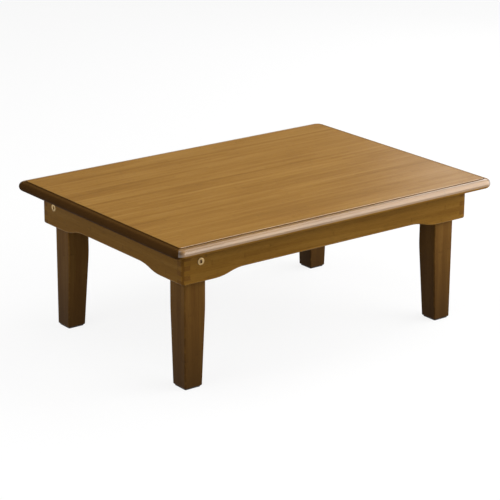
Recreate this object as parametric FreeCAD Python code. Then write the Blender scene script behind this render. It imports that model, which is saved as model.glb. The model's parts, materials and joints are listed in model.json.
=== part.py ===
import FreeCAD, Part
import math
import os
from FreeCAD import Vector

# Folding low tea table in stained bamboo, 700 x 500 mm and 270 mm high.
# A moulded top sits on a frame of four finger-jointed aprons with an arched lower edge. Each leg turns on a bolt
# through the apron it folds against, and the four of them fold round the frame like a pinwheel, each one lying
# along its own apron. Standing, a leg is stopped by the neighbouring apron and held by the clamp of its lock nut.
# The origin is on the floor under the middle of the top: X along the length, Y to the back, Z up. Sizes are in mm.

# Overall sizes
table_length = 700.0
table_width = 500.0
table_height = 270.0

# Top board, with a raised panel, a small step round it and a half-round nose
top_thickness = 18.0
moulding_width = 13.5  # from the raised panel's edge out to the nose
panel_step = 1.6  # drop from the raised panel to the moulding
panel_corner_radius = 3.5  # in plan
panel_edge_round = 0.7

# Aprons
top_overhang = 35.0  # nose of the top to the outer face of the aprons
apron_thickness = 15.0
apron_end_depth = 59.0
arch_rise = 10.0  # how much the lower edge rises between the ends
lobe_length = 67.0  # straight stretch at each end of the lower edge
ogee_run = 62.0  # length of the S curve between that stretch and the arch
apron_edge_round = 2.2
frame_corner_radius = 4.0
finger_count = 7

# Legs
leg_width = 43.0
foot_width = 36.0
taper_height = 140.0  # where the two inner faces start to slope, above the floor
taper_blend_radius = 480.0
leg_edge_round = 2.4
leg_top_clearance = 0.5  # under the top board
stop_gap = 0.3  # between a standing leg and the apron that stops it

# Foot pads
pad_thickness = 2.0
pad_inset = 2.0
pad_corner_round = 3.0

# Leg pivot: bolt, spacer washer, nut washer and lock nut
bolt_radius = 3.0
bolt_beyond_nut = 1.0
bolt_end_chamfer = 0.8
bolt_head_radius = 6.5
bolt_head_seat = 1.7  # how deep the head sits in the apron
bolt_head_proud = 0.8
bolt_head_chamfer = 0.6
socket_flats = 5.0
socket_depth = 3.0
spacer_thickness = 1.0
spacer_radius = 9.0
nut_washer_thickness = 1.2
nut_washer_radius = 8.5
nut_flats = 10.0
nut_hex_height = 4.6
nut_collar_height = 1.4
nut_collar_radius = 4.3
nut_recess_depth = 9.0
nut_recess_radius = 10.0
running_clearance = 0.06  # leg on its bolt, on the radius
side_clearance = 0.1  # leg to the washers on each side
fixed_clearance = 0.1  # round parts that don't turn

# Cross rail between the long aprons
rail_width = 42.0
rail_depth = 25.0
rail_edge_round = 2.0
tenon_length = 8.0
tenon_shoulder = 6.0  # on each side of the tenon and under it
rail_screw_count = 3
rail_screw_margin = 45.0  # rail's shoulder to its first screw

# Cleats that screw the aprons to the top, each in the stretch of its apron that no leg uses
cleat_size = 18.0
cleat_gap = 4.0  # to the folded leg, the next leg or the rail
cleat_edge_round = 1.5
cleat_screw_pitch = 66.0  # longest distance between two screws into the top
cleat_screw_margin = 15.0

# Countersunk screws
screw_radius = 1.9
screw_head_radius = 3.9
screw_head_height = 2.4
screw_tip = 3.0
screw_bite = 10.0  # length in the piece that it holds on to
screw_recess_arm = 2.1
screw_recess_width = 0.9
screw_recess_depth = 1.5

# Dowels between the aprons and the top
dowel_radius = 4.0
dowel_chamfer = 0.8
dowel_in_top = 11.0
dowel_in_apron = 17.0
dowel_spare_depth = 1.0  # each hole is this much deeper than its dowel
dowel_count = 3  # in each apron, spread over the stretch that the folded leg covers, where no cleat fits
dowel_end_margin = 86.0
dowel_gap = 20.0  # from the last dowel to the rail, or to the end of the folded leg

overrun = 5.0  # how far cutting shapes run past the faces that they cut
same_place = 0.01  # edges nearer than this to a plane lie on it

# Places that follow from the sizes
frame_length = table_length - top_overhang - top_overhang
frame_width = table_width - top_overhang - top_overhang
top_underside = table_height - top_thickness
lobe_bottom = top_underside - apron_end_depth
arch_bottom = lobe_bottom + arch_rise
nose_radius = (top_thickness - panel_step) / 2
top_corner_radius = panel_corner_radius + moulding_width
leg_start_u = apron_thickness + stop_gap
leg_start_v = apron_thickness + spacer_thickness + side_clearance
pivot_u = leg_start_u + leg_width / 2
pivot_z = top_underside - leg_top_clearance - leg_width / 2
folded_reach = pivot_u + pivot_z
recess_floor_v = leg_start_v + leg_width - nut_recess_depth
nut_washer_v = recess_floor_v + side_clearance
nut_v = nut_washer_v + nut_washer_thickness
bolt_end_v = nut_v + nut_hex_height + nut_collar_height + bolt_beyond_nut

# Sides and corners go round the frame in one order. Side n starts at corner n, and its length runs along u with v
# pointing in from the apron's outer face. The leg of corner n turns on side n and folds along it.
side_names = ("front", "right", "back", "left")
corner_names = ("front_left", "front_right", "back_right", "back_left")
side_lengths = (frame_length, frame_width, frame_length, frame_width)
corner_places = (
    Vector(-frame_length / 2, -frame_width / 2, 0),
    Vector(frame_length / 2, -frame_width / 2, 0),
    Vector(frame_length / 2, frame_width / 2, 0),
    Vector(-frame_length / 2, frame_width / 2, 0),
)
along_u = Vector(1, 0, 0)
along_v = Vector(0, 1, 0)
upward = Vector(0, 0, 1)


def placed(shape, corner):
    """Moves a shape from the u, v, z axes of a corner to its place on the table."""
    moved = shape.copy()
    moved.rotate(Vector(), upward, 90 * corner)
    moved.translate(corner_places[corner])
    return moved


def box(low, high):
    size = high - low
    return Part.makeBox(size.x, size.y, size.z, low)


def outline_face(edges):
    return Part.Face(Part.Wire(edges))


def line(start, end):
    return Part.LineSegment(start, end).toShape()


def arc(start, middle, end):
    return Part.Arc(start, middle, end).toShape()


def chain(points):
    """Straight edges from each point to the next."""
    return [line(a, b) for a, b in zip(points, points[1:])]


def turned(points, base, axis):
    """A solid of revolution about the line from base along axis. Each point is (radius, distance along the axis)."""
    outward = along_u if abs(axis.dot(along_u)) < abs(axis.dot(upward)) + abs(axis.dot(along_v)) else upward
    corners = [base + outward * radius + axis * height for radius, height in points]
    return outline_face(chain(corners + corners[:1])).revolve(base, axis, 360)


def rod(radius, base, axis, length):
    return Part.makeCylinder(radius, length, base, axis)


def hexagon(flats, base, axis, length):
    """A hexagonal bar, measured across its flats."""
    reach = flats / math.sqrt(3)
    first = upward if abs(axis.dot(upward)) < abs(axis.dot(along_v)) + abs(axis.dot(along_u)) else along_u
    second = axis.cross(first)
    corners = []
    for step in range(6):
        angle = math.radians(60 * step)
        corners.append(base + first * (reach * math.cos(angle)) + second * (reach * math.sin(angle)))
    return outline_face(chain(corners + corners[:1])).extrude(axis * length)


def evenly(first, last, count):
    """Places spread evenly from first to last, or the middle when there is only one."""
    if count == 1:
        return [(first + last) / 2]
    return [first + (last - first) * step / (count - 1) for step in range(count)]


# Top board

def top_section(place):
    """Half section of the top's edge, from the centre of a plan corner out to the nose. place(r, z) gives the point."""
    nose_centre = top_corner_radius - nose_radius
    nose_height = top_underside + nose_radius
    round_reach = panel_edge_round * (1 - math.sqrt(0.5))
    nose_top = place(nose_centre, nose_height + nose_radius)
    nose_bottom = place(nose_centre, top_underside)
    panel_side = place(panel_corner_radius, table_height - panel_edge_round)
    panel_top = place(panel_corner_radius - panel_edge_round, table_height)
    return [
        line(place(0, top_underside), nose_bottom),
        arc(nose_bottom, place(top_corner_radius, nose_height), nose_top),
        line(nose_top, place(panel_corner_radius, table_height - panel_step)),
        line(place(panel_corner_radius, table_height - panel_step), panel_side),
        arc(panel_side, place(panel_corner_radius - round_reach, table_height - round_reach), panel_top),
        line(panel_top, place(0, table_height)),
        line(place(0, table_height), place(0, top_underside)),
    ]


def top_board():
    """The board: a core, the edge section run along each side, and the same section turned at each corner."""
    core_x = table_length / 2 - top_corner_radius
    core_y = table_width / 2 - top_corner_radius
    board = box(Vector(-core_x, -core_y, top_underside), Vector(core_x, core_y, table_height))
    half_sizes = (core_x, core_y, core_x, core_y)
    offsets = (core_y, core_x, core_y, core_x)
    for turn in range(4):
        half, offset = half_sizes[turn], offsets[turn]
        section = outline_face(top_section(lambda r, z: Vector(-half, -offset - r, z)))
        edge = section.extrude(along_u * (half + half))
        corner = section.revolve(Vector(-half, -offset, 0), upward, -90)
        for piece in (edge, corner):
            piece.rotate(Vector(), upward, 90 * turn)
            board = board.fuse(piece)
    return board.removeSplitter()


# Aprons

def ogee(side_u, direction, length_sign):
    """The S curve from the lobe at side_u up to the arch, as two equal tangent arcs. direction is 1 towards +u."""
    radius = (ogee_run ** 2 + arch_rise ** 2) / (4 * arch_rise)
    turn = 2 * math.atan(arch_rise / ogee_run)
    reach, lift = radius * math.sin(turn / 2), radius * (1 - math.cos(turn / 2))
    low = Vector(side_u, 0, lobe_bottom)
    high = Vector(side_u + direction * ogee_run, 0, arch_bottom)
    middle = (low + high) / 2
    first = arc(low, low + Vector(direction * reach, 0, lift), middle)
    second = arc(middle, high - Vector(direction * reach, 0, lift), high)
    return [first, second] if length_sign > 0 else [second, first]


def apron_blank(length):
    """A board with the arched lower edge, both lower arrises rounded, before its joints are cut."""
    lobe_end, arch_start = lobe_length, lobe_length + ogee_run
    edges = chain([
        Vector(lobe_end, 0, lobe_bottom),
        Vector(0, 0, lobe_bottom),
        Vector(0, 0, top_underside),
        Vector(length, 0, top_underside),
        Vector(length, 0, lobe_bottom),
        Vector(length - lobe_end, 0, lobe_bottom),
    ])
    edges += ogee(length - lobe_end, -1, 1)
    edges.append(line(Vector(length - arch_start, 0, arch_bottom), Vector(arch_start, 0, arch_bottom)))
    edges += ogee(lobe_end, 1, -1)
    board = outline_face(Part.sortEdges(edges)[0]).extrude(along_v * apron_thickness)
    lower = [
        edge for edge in board.Edges
        if edge.BoundBox.ZMax < top_underside - same_place and edge.BoundBox.YLength < same_place
    ]
    return board.makeFillet(apron_edge_round, lower)


def finger_slots(length, first_level):
    """The gaps that the neighbours' fingers fill, at both ends of a board, on every second level."""
    height = apron_end_depth / finger_count
    slots = []
    for level in range(first_level, finger_count, 2):
        top = top_underside - level * height
        for start in (-overrun, length - apron_thickness):
            slots.append(box(
                Vector(start, -overrun, top - height),
                Vector(start + apron_thickness + overrun, apron_thickness + overrun, top),
            ))
    return slots


def frame_envelope():
    """The outside of the apron frame, with rounded corners and a rounded lower arris."""
    block = box(
        Vector(-frame_length / 2, -frame_width / 2, lobe_bottom),
        Vector(frame_length / 2, frame_width / 2, top_underside + overrun),
    )
    upright = [edge for edge in block.Edges if edge.BoundBox.ZLength > apron_end_depth]
    block = block.makeFillet(frame_corner_radius, upright)
    lower = [edge for edge in block.Edges if edge.BoundBox.ZMax < lobe_bottom + same_place]
    return block.makeFillet(apron_edge_round, lower)


def dowel_places(side):
    last = (side_lengths[side] - rail_width) / 2 if side % 2 == 0 else folded_reach
    middle = apron_thickness / 2
    return [Vector(u, middle, 0) for u in evenly(dowel_end_margin, last - dowel_gap, dowel_count)]


def dowel(base, clearance, spare):
    """A dowel up through the joint between apron and top, or its hole when given clearance and spare depth."""
    radius = dowel_radius + clearance
    bottom = top_underside - dowel_in_apron - spare
    top = top_underside + dowel_in_top + spare
    inner = radius - dowel_chamfer
    return turned([
        (0, bottom),
        (inner, bottom),
        (radius, bottom + dowel_chamfer),
        (radius, top - dowel_chamfer),
        (inner, top),
        (0, top),
    ], base, upward)


def apron(side):
    """One finger-jointed board with its pivot hole, dowel holes and, on the long sides, the rail's mortise."""
    length = side_lengths[side]
    board = apron_blank(length)
    cuts = finger_slots(length, 1 if side % 2 == 0 else 0)
    through = apron_thickness + overrun
    pivot = Vector(pivot_u, 0, pivot_z)
    cuts.append(rod(bolt_radius + fixed_clearance, pivot, along_v, through))
    head_start = pivot - along_v * overrun
    cuts.append(rod(bolt_head_radius + fixed_clearance, head_start, along_v, bolt_head_seat + overrun))
    cuts += [dowel(place, fixed_clearance, dowel_spare_depth) for place in dowel_places(side)]
    if side % 2 == 0:
        cuts.append(rail_tenon(length / 2, fixed_clearance))
    cuts += cleat_screw_set(side, fixed_clearance)
    board = board.cut(cuts)
    return placed(board, side).common(frame_envelope())


# Cross rail

def rail_tenon(middle_u, clearance):
    """The tenon in the axes of a long side, or its mortise when given a clearance."""
    half = rail_width / 2 - tenon_shoulder + clearance
    bottom = top_underside - rail_depth + tenon_shoulder - clearance
    return box(
        Vector(middle_u - half, apron_thickness - tenon_length - clearance, bottom),
        Vector(middle_u + half, apron_thickness + overrun, top_underside),
    )


def rail_screw_places():
    reach = frame_width / 2 - apron_thickness - rail_screw_margin
    return [Vector(0, y, top_underside - rail_depth) for y in evenly(-reach, reach, rail_screw_count)]


def cross_rail():
    """The rail that ties the two long aprons together under the top, tenoned at both ends."""
    shoulder = frame_width / 2 - apron_thickness
    rail = box(
        Vector(-rail_width / 2, -shoulder, top_underside - rail_depth),
        Vector(rail_width / 2, shoulder, top_underside),
    )
    lower = [
        edge for edge in rail.Edges
        if edge.BoundBox.ZMax < top_underside - same_place and edge.BoundBox.YLength > same_place
    ]
    rail = rail.makeFillet(rail_edge_round, lower)
    for side in (0, 2):
        rail = rail.fuse(placed(rail_tenon(frame_length / 2, 0), side))
    holes = [screw(place, upward, rail_depth, fixed_clearance) for place in rail_screw_places()]
    return rail.removeSplitter().cut(holes)


# Cleats and screws

def screw(base, axis, held, clearance):
    """A countersunk screw through a piece `held` thick, its head flush at base, or its hole when given a clearance."""
    length = held + screw_bite + clearance
    head, shank = screw_head_radius + clearance, screw_radius + clearance
    return turned([
        (0, 0),
        (head, 0),
        (shank, screw_head_height + clearance),
        (shank, length - screw_tip),
        (0, length),
    ], base, axis)


def driven_screw(base, axis, held):
    """The screw itself, with its cross recess."""
    body = screw(base, axis, held, 0)
    across = axis.cross(upward) if abs(axis.dot(upward)) < same_place else along_u
    other = axis.cross(across)
    for arm, side in ((across, other), (other, across)):
        start = base - axis * overrun - arm * screw_recess_arm - side * (screw_recess_width / 2)
        corners = [
            start,
            start + arm * (screw_recess_arm + screw_recess_arm),
            start + arm * (screw_recess_arm + screw_recess_arm) + side * screw_recess_width,
            start + side * screw_recess_width,
            start,
        ]
        body = body.cut(outline_face(chain(corners)).extrude(axis * (overrun + screw_recess_depth)))
    return body


def cleat_span(side):
    """Where the cleat starts and ends along its apron: past the folded leg and the rail, short of the next leg."""
    start = folded_reach
    if side % 2 == 0:
        start = max(start, (side_lengths[side] + rail_width) / 2)
    end = side_lengths[side] - leg_start_v - leg_width
    return start + cleat_gap, end - cleat_gap


def cleat_screw_bases(side):
    """Pairs of a place and a direction: a row up into the top, and one into the apron between each two of those."""
    start, end = cleat_span(side)
    first, last = start + cleat_screw_margin, end - cleat_screw_margin
    rows = evenly(first, last, 1 + max(0, math.ceil((last - first) / cleat_screw_pitch)))
    lower = Vector(0, apron_thickness + cleat_size / 2, top_underside - cleat_size)
    inner = Vector(0, apron_thickness + cleat_size, top_underside - cleat_size / 2)
    places = [(lower + along_u * u, upward) for u in rows]
    places += [(inner + along_u * ((a + b) / 2), -along_v) for a, b in zip(rows, rows[1:])]
    return places


def cleat_screw_set(side, clearance):
    return [screw(base, axis, cleat_size, clearance) for base, axis in cleat_screw_bases(side)]


def cleat(side):
    start, end = cleat_span(side)
    low = Vector(start, apron_thickness, top_underside - cleat_size)
    high = Vector(end, apron_thickness + cleat_size, top_underside)
    strip = box(low, high)
    arris = [
        edge for edge in strip.Edges
        if edge.BoundBox.ZMax < low.z + same_place and edge.BoundBox.YMin > high.y - same_place
    ]
    strip = strip.makeFillet(cleat_edge_round, arris)
    return placed(strip.cut(cleat_screw_set(side, fixed_clearance)), side)


def cleat_screws(side):
    return placed(Part.makeCompound([
        driven_screw(base, axis, cleat_size) for base, axis in cleat_screw_bases(side)
    ]), side)


def rail_screws():
    return Part.makeCompound([driven_screw(place, upward, rail_depth) for place in rail_screw_places()])


# Legs, in the axes of their own corner

def taper_edges(place):
    """The inner edge of a leg from its full width down to the foot: a gentle bend, then a straight taper."""
    slope = math.atan((leg_width - foot_width) / (taper_height - pad_thickness))
    tangent = taper_blend_radius * math.tan(slope / 2)
    centre = (leg_width - taper_blend_radius, taper_height + tangent)
    bend_start = place(leg_width, taper_height + tangent)
    bend_middle = place(
        centre[0] + taper_blend_radius * math.cos(slope / 2),
        centre[1] - taper_blend_radius * math.sin(slope / 2),
    )
    bend_end = place(
        centre[0] + taper_blend_radius * math.cos(slope),
        centre[1] - taper_blend_radius * math.sin(slope),
    )
    return [arc(bend_start, bend_middle, bend_end), line(bend_end, place(foot_width, pad_thickness))], bend_start


def leg():
    """A square post whose two inner faces taper to the foot, half round at the top about its pivot."""
    def across(width, z):
        return Vector(leg_start_u + width, leg_start_v - overrun, z)

    def inward(width, z):
        return Vector(leg_start_u - overrun, leg_start_v + width, z)

    depth = leg_width + overrun + overrun
    round_top = across(leg_width / 2, pivot_z + leg_width / 2)
    taper, bend = taper_edges(across)
    edges = [line(across(0, pad_thickness), across(0, pivot_z))]
    edges.append(arc(across(0, pivot_z), round_top, across(leg_width, pivot_z)))
    edges.append(line(across(leg_width, pivot_z), bend))
    edges += taper + [line(across(foot_width, pad_thickness), across(0, pad_thickness))]
    front_shape = outline_face(edges).extrude(along_v * depth)

    taper, bend = taper_edges(inward)
    flat_top = pivot_z + leg_width
    edges = chain([inward(0, pad_thickness), inward(0, flat_top), inward(leg_width, flat_top), bend])
    edges += taper + [line(inward(foot_width, pad_thickness), inward(0, pad_thickness))]
    side_shape = outline_face(edges).extrude(along_u * depth)

    post = front_shape.common(side_shape).Solids[0]
    post = post.makeFillet(leg_edge_round, post.Edges)
    pivot = Vector(pivot_u, 0, pivot_z)
    bore = rod(bolt_radius + running_clearance, pivot, along_v, leg_start_v + leg_width + overrun)
    recess = rod(nut_recess_radius, pivot + along_v * recess_floor_v, along_v, nut_recess_depth + overrun)
    return post.cut([bore, recess])


def foot_pad():
    low = Vector(leg_start_u + pad_inset, leg_start_v + pad_inset, 0)
    high = Vector(leg_start_u + foot_width - pad_inset, leg_start_v + foot_width - pad_inset, pad_thickness)
    pad = box(low, high)
    upright = [edge for edge in pad.Edges if edge.BoundBox.ZLength > same_place]
    return pad.makeFillet(pad_corner_round, upright)


def pivot_bolt():
    """Flat-headed bolt with a hexagon socket."""
    head_face = -bolt_head_proud
    bolt = turned([
        (0, head_face),
        (bolt_head_radius - bolt_head_chamfer, head_face),
        (bolt_head_radius, head_face + bolt_head_chamfer),
        (bolt_head_radius, bolt_head_seat),
        (bolt_radius, bolt_head_seat),
        (bolt_radius, bolt_end_v - bolt_end_chamfer),
        (bolt_radius - bolt_end_chamfer, bolt_end_v),
        (0, bolt_end_v),
    ], Vector(pivot_u, 0, pivot_z), along_v)
    socket_start = Vector(pivot_u, head_face - overrun, pivot_z)
    return bolt.cut(hexagon(socket_flats, socket_start, along_v, socket_depth + overrun))


def washer(radius, thickness, start_v):
    base = Vector(pivot_u, start_v, pivot_z)
    hole = rod(bolt_radius + fixed_clearance, base - along_v * overrun, along_v, thickness + overrun + overrun)
    return rod(radius, base, along_v, thickness).cut(hole)


def lock_nut():
    """Hexagon nut with a round nylon collar."""
    base = Vector(pivot_u, nut_v, pivot_z)
    hexagon_part = hexagon(nut_flats, base, along_v, nut_hex_height)
    collar = rod(nut_collar_radius, base, along_v, nut_hex_height + nut_collar_height)
    hole_length = nut_hex_height + nut_collar_height + overrun + overrun
    hole = rod(bolt_radius + fixed_clearance, base - along_v * overrun, along_v, hole_length)
    return hexagon_part.fuse(collar).removeSplitter().cut(hole)


# Assembly

def top_panel():
    """The top board with the holes for its dowels and screws."""
    holes = []
    for side in range(4):
        holes += [placed(dowel(place, fixed_clearance, dowel_spare_depth), side) for place in dowel_places(side)]
        for base, axis in cleat_screw_bases(side):
            if axis == upward:
                holes.append(placed(screw(base, axis, cleat_size, fixed_clearance), side))
    holes += [screw(place, upward, rail_depth, fixed_clearance) for place in rail_screw_places()]
    return top_board().cut(holes)


def all_pieces():
    """Node names and their shapes."""
    pieces = {"top_panel": top_panel(), "cross_rail": cross_rail(), "cross_rail_screws": rail_screws()}
    for side, name in enumerate(side_names):
        pieces[name + "_apron"] = apron(side)
        pieces[name + "_apron_dowels"] = placed(
            Part.makeCompound([dowel(place, 0, 0) for place in dowel_places(side)]), side
        )
        pieces[name + "_cleat"] = cleat(side)
        pieces[name + "_cleat_screws"] = cleat_screws(side)
    corner_pieces = {
        "leg": leg(),
        "foot_pad": foot_pad(),
        "pivot_bolt": pivot_bolt(),
        "spacer_washer": washer(spacer_radius, spacer_thickness, apron_thickness),
        "nut_washer": washer(nut_washer_radius, nut_washer_thickness, nut_washer_v),
        "lock_nut": lock_nut(),
    }
    for corner, name in enumerate(corner_names):
        for piece, shape in corner_pieces.items():
            pieces[name + "_" + piece] = placed(shape, corner)
    return pieces


os.makedirs("parts", exist_ok=True)
for node, shape in all_pieces().items():
    if not shape.isValid() or shape.Volume <= 0:
        raise ValueError(node + " is not a valid solid")
    shape.exportStep(os.path.join("parts", node + ".step"))
    print(node, len(shape.Solids), "solids", round(shape.Volume / 1000, 2), "cm3")
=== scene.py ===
import json
import math

import bmesh
import bpy
from mathutils import Matrix, Vector


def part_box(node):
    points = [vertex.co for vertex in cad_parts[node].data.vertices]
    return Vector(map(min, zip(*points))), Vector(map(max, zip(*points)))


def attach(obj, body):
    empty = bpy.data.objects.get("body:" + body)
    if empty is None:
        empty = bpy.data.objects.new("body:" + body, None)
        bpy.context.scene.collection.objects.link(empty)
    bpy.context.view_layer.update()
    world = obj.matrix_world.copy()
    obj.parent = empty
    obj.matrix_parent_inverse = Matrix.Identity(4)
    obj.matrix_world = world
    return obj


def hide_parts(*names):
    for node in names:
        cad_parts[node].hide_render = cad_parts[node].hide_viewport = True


# Folding coffee table in stained bamboo. Everything is in metres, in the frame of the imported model.
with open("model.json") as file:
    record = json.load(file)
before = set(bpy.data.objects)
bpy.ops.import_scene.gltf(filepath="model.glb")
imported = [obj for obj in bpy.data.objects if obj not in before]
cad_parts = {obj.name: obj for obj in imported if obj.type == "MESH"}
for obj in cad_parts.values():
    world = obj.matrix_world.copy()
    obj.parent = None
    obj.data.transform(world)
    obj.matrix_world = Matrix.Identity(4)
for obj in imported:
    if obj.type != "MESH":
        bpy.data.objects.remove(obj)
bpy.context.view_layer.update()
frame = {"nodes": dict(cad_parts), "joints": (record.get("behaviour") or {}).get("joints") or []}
scene = bpy.context.scene
mm = 0.001
overrun = 5 * mm  # how far cutting shapes run past the faces that they cut
near = 0.1 * mm  # points nearer than this to a plane lie on it
mergeDistance = 0.001 * mm  # and points nearer than this to each other are one
roundSteps = 64  # sides of a washer or a bored hole
cornerNames = ["front_left", "front_right", "back_right", "back_left"]
sideNames = ["front", "right", "back", "left"]
tableBody = "table_frame"

# the apron frame's outer corners, in the order in which the legs fold round it
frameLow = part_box("front_apron")[0]
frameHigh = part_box("back_apron")[1]
cornerPlaces = [
    Vector((frameLow.x, frameLow.y, 0)),
    Vector((frameHigh.x, frameLow.y, 0)),
    Vector((frameHigh.x, frameHigh.y, 0)),
    Vector((frameLow.x, frameHigh.y, 0)),
]
frameSizes = [frameHigh.x - frameLow.x, frameHigh.y - frameLow.y]
pivotPlace = frame["joints"][0]["pos_m"]  # of the front left leg; the others repeat it round the frame
pivotAlong = pivotPlace[0] - frameLow.x
pivotHeight = pivotPlace[2]
print("frame loaded:", len(frame["nodes"]), "nodes")


def cornerMatrix(corner):
    # from a corner's own axes, u along its apron and v inwards, to the table's
    return Matrix.Translation(cornerPlaces[corner]) @ Matrix.Rotation(math.radians(90 * corner), 4, "Z")


def pieceName(node, ending=""):
    words = node.split("_")
    return words[0] + "".join(word.capitalize() for word in words[1:]) + ending


# Mesh tools

wornRadius = 5 * mm  # an outward edge rounder than this doesn't wear
flatBend = 0.06  # radians; two faces that meet at less are one flat
sharpBend = 60  # degrees; an outward edge that turns by more is still to be rounded
cutGrain = (0.12, 0.62)  # a face starts to look cut, and is wholly cut, with this much grain in its normal


def shareOf(value, start, end):
    # 0 up to start, 1 from end on, and even between them
    return min(1, max(0, (value - start) / (end - start)))


def markWornEdges(bm):
    # marks the narrow faces of outward rounds, where hands rub the stain thin
    layer = bm.faces.layers.float.new("edgeWear")
    for face in bm.faces:
        bends = [e.calc_face_angle_signed(0) for e in face.edges if len(e.link_faces) == 2]
        bend = max(bends, default=0)
        width = face.calc_area() / max(e.calc_length() for e in face.edges)
        face[layer] = 1.0 if bend > flatBend and width / bend < wornRadius else 0.0


def markGrain(bm, grain):
    # each point's place in the wood, along, across and through the strips, and which faces cut the grain
    place = bm.verts.layers.float_vector.new("grainPlace")
    for v in bm.verts:
        v[place] = grain @ v.co
    cut = bm.faces.layers.float.new("endGrain")
    for face in bm.faces:
        along = abs((grain.to_3x3() @ face.normal).x)
        face[cut] = shareOf(along, *cutGrain)


def pieceFrom(name, bm, place=None, grain=None, sharpAngle=32):
    # turns a finished mesh into a piece; grain is the matrix from the mesh to the wood
    bmesh.ops.recalc_face_normals(bm, faces=bm.faces[:])
    if grain:
        markGrain(bm, grain)
        markWornEdges(bm)
    if place:
        bm.transform(place)
    mesh = bpy.data.meshes.new(name)
    bm.to_mesh(mesh)
    bm.free()
    mesh.shade_smooth()
    mesh.set_sharp_from_angle(angle=math.radians(sharpAngle))
    piece = bpy.data.objects.new(name, mesh)
    scene.collection.objects.link(piece)
    modifier = piece.modifiers.new("evenNormals", "WEIGHTED_NORMAL")  # keeps flat faces flat
    modifier.keep_sharp = True
    modifier.weight = 90
    return piece


def arcPoints(centre, radius, startAngle, endAngle, steps):
    angles = [math.radians(startAngle + (endAngle - startAngle) * n / steps) for n in range(steps + 1)]
    return [(centre[0] + radius * math.cos(a), centre[1] + radius * math.sin(a)) for a in angles]


def roundEdges(bm, edges, radius, segments):
    bmesh.ops.bevel(bm, geom=edges, offset=radius, offset_type="OFFSET", segments=segments, profile=0.5,
                    affect="EDGES", clamp_overlap=True)


def sharpEdges(bm):
    limit = math.radians(sharpBend)
    return [e for e in bm.edges if len(e.link_faces) == 2 and e.calc_face_angle_signed(0) > limit]


def pushedOut(outline, push):
    # a flat outline, pushed out into a solid
    bm = bmesh.new()
    face = bm.faces.new([bm.verts.new(place) for place in outline])
    made = bmesh.ops.extrude_face_region(bm, geom=[face])
    moved = [v for v in made["geom"] if isinstance(v, bmesh.types.BMVert)]
    bmesh.ops.translate(bm, vec=push, verts=moved)
    bmesh.ops.recalc_face_normals(bm, faces=bm.faces[:])
    return bm


def turnedMesh(profile, steps):
    # turns (radius, distance) points about the v axis; a radius of 0 closes an end
    bm = bmesh.new()
    rings = []
    for radius, along in profile:
        if radius == 0:
            rings.append([bm.verts.new((0, along, 0))])
            continue
        angles = [2 * math.pi * n / steps for n in range(steps)]
        places = [(radius * math.cos(a), along, radius * math.sin(a)) for a in angles]
        rings.append([bm.verts.new(place) for place in places])
    if profile[0] == profile[-1]:
        for v in rings.pop():
            bm.verts.remove(v)
        rings.append(rings[0])
    for ring, following in zip(rings, rings[1:]):
        for n in range(steps):
            m = (n + 1) % steps
            corners = [ring[n % len(ring)], ring[m % len(ring)]]
            corners += [following[m % len(following)], following[n % len(following)]]
            bm.faces.new(list(dict.fromkeys(corners)))
    bmesh.ops.recalc_face_normals(bm, faces=bm.faces[:])
    return bm


def hexagonMesh(flats, start, end):
    reach = flats / math.sqrt(3)
    angles = [math.radians(60 * n) for n in range(6)]
    outline = [(reach * math.cos(a), start, reach * math.sin(a)) for a in angles]
    return pushedOut(outline, (0, end - start, 0))


def shaped(bm, cutters, operation="DIFFERENCE"):
    # the mesh after each cutter is taken out of it, joined to it, or after only what they share is kept
    base = pieceFrom("shapedBase", bm)
    tools = [pieceFrom("shapedTool", cutter) for cutter in cutters]
    for piece in [base] + tools:
        piece.modifiers.clear()
    for tool in tools:
        modifier = base.modifiers.new("shape", "BOOLEAN")
        modifier.operation = operation
        modifier.solver = "EXACT"
        modifier.object = tool
    bpy.context.view_layer.update()
    result = bmesh.new()
    result.from_object(base, bpy.context.evaluated_depsgraph_get())
    for used in [base] + tools:
        bpy.data.objects.remove(used)
    bmesh.ops.remove_doubles(result, verts=result.verts[:], dist=mergeDistance)
    return result


# Table top

topSettings = {
    "mouldingWidth": 13.5 * mm,
    "panelStep": 1.6 * mm,
    "panelCornerRadius": 3.5 * mm,
    "panelEdgeRound": 0.9 * mm,
    "quirkRound": 0.4 * mm,  # the fillet at the foot of the step
    "paintedShadeStrip": 2 * mm,  # of the shelf beside it, which gets painted shade
    "edgeSteps": 5,
    "quirkSteps": 4,
    "noseSteps": 20,
    "cornerSteps": 20,
    "polishedShare": 0.6,  # of the nose, from above; the rest faces the floor
    "stepPaintedShade": 0.95,  # how much painted shade darkens the step and the strip beside it
    "endStainAndShade": (1.0, 0.45),  # end-grain stain at the left and right ends; painted shade makes the left end darker than the right
    "endTurn": (0.45, 0.85),  # where in a corner an end's stain starts and is full
    "grainShift": (0.41, 0.25, 0),
    "sharpAngle": 50,  # degrees; the shading stays soft over smaller bends
}


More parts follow.
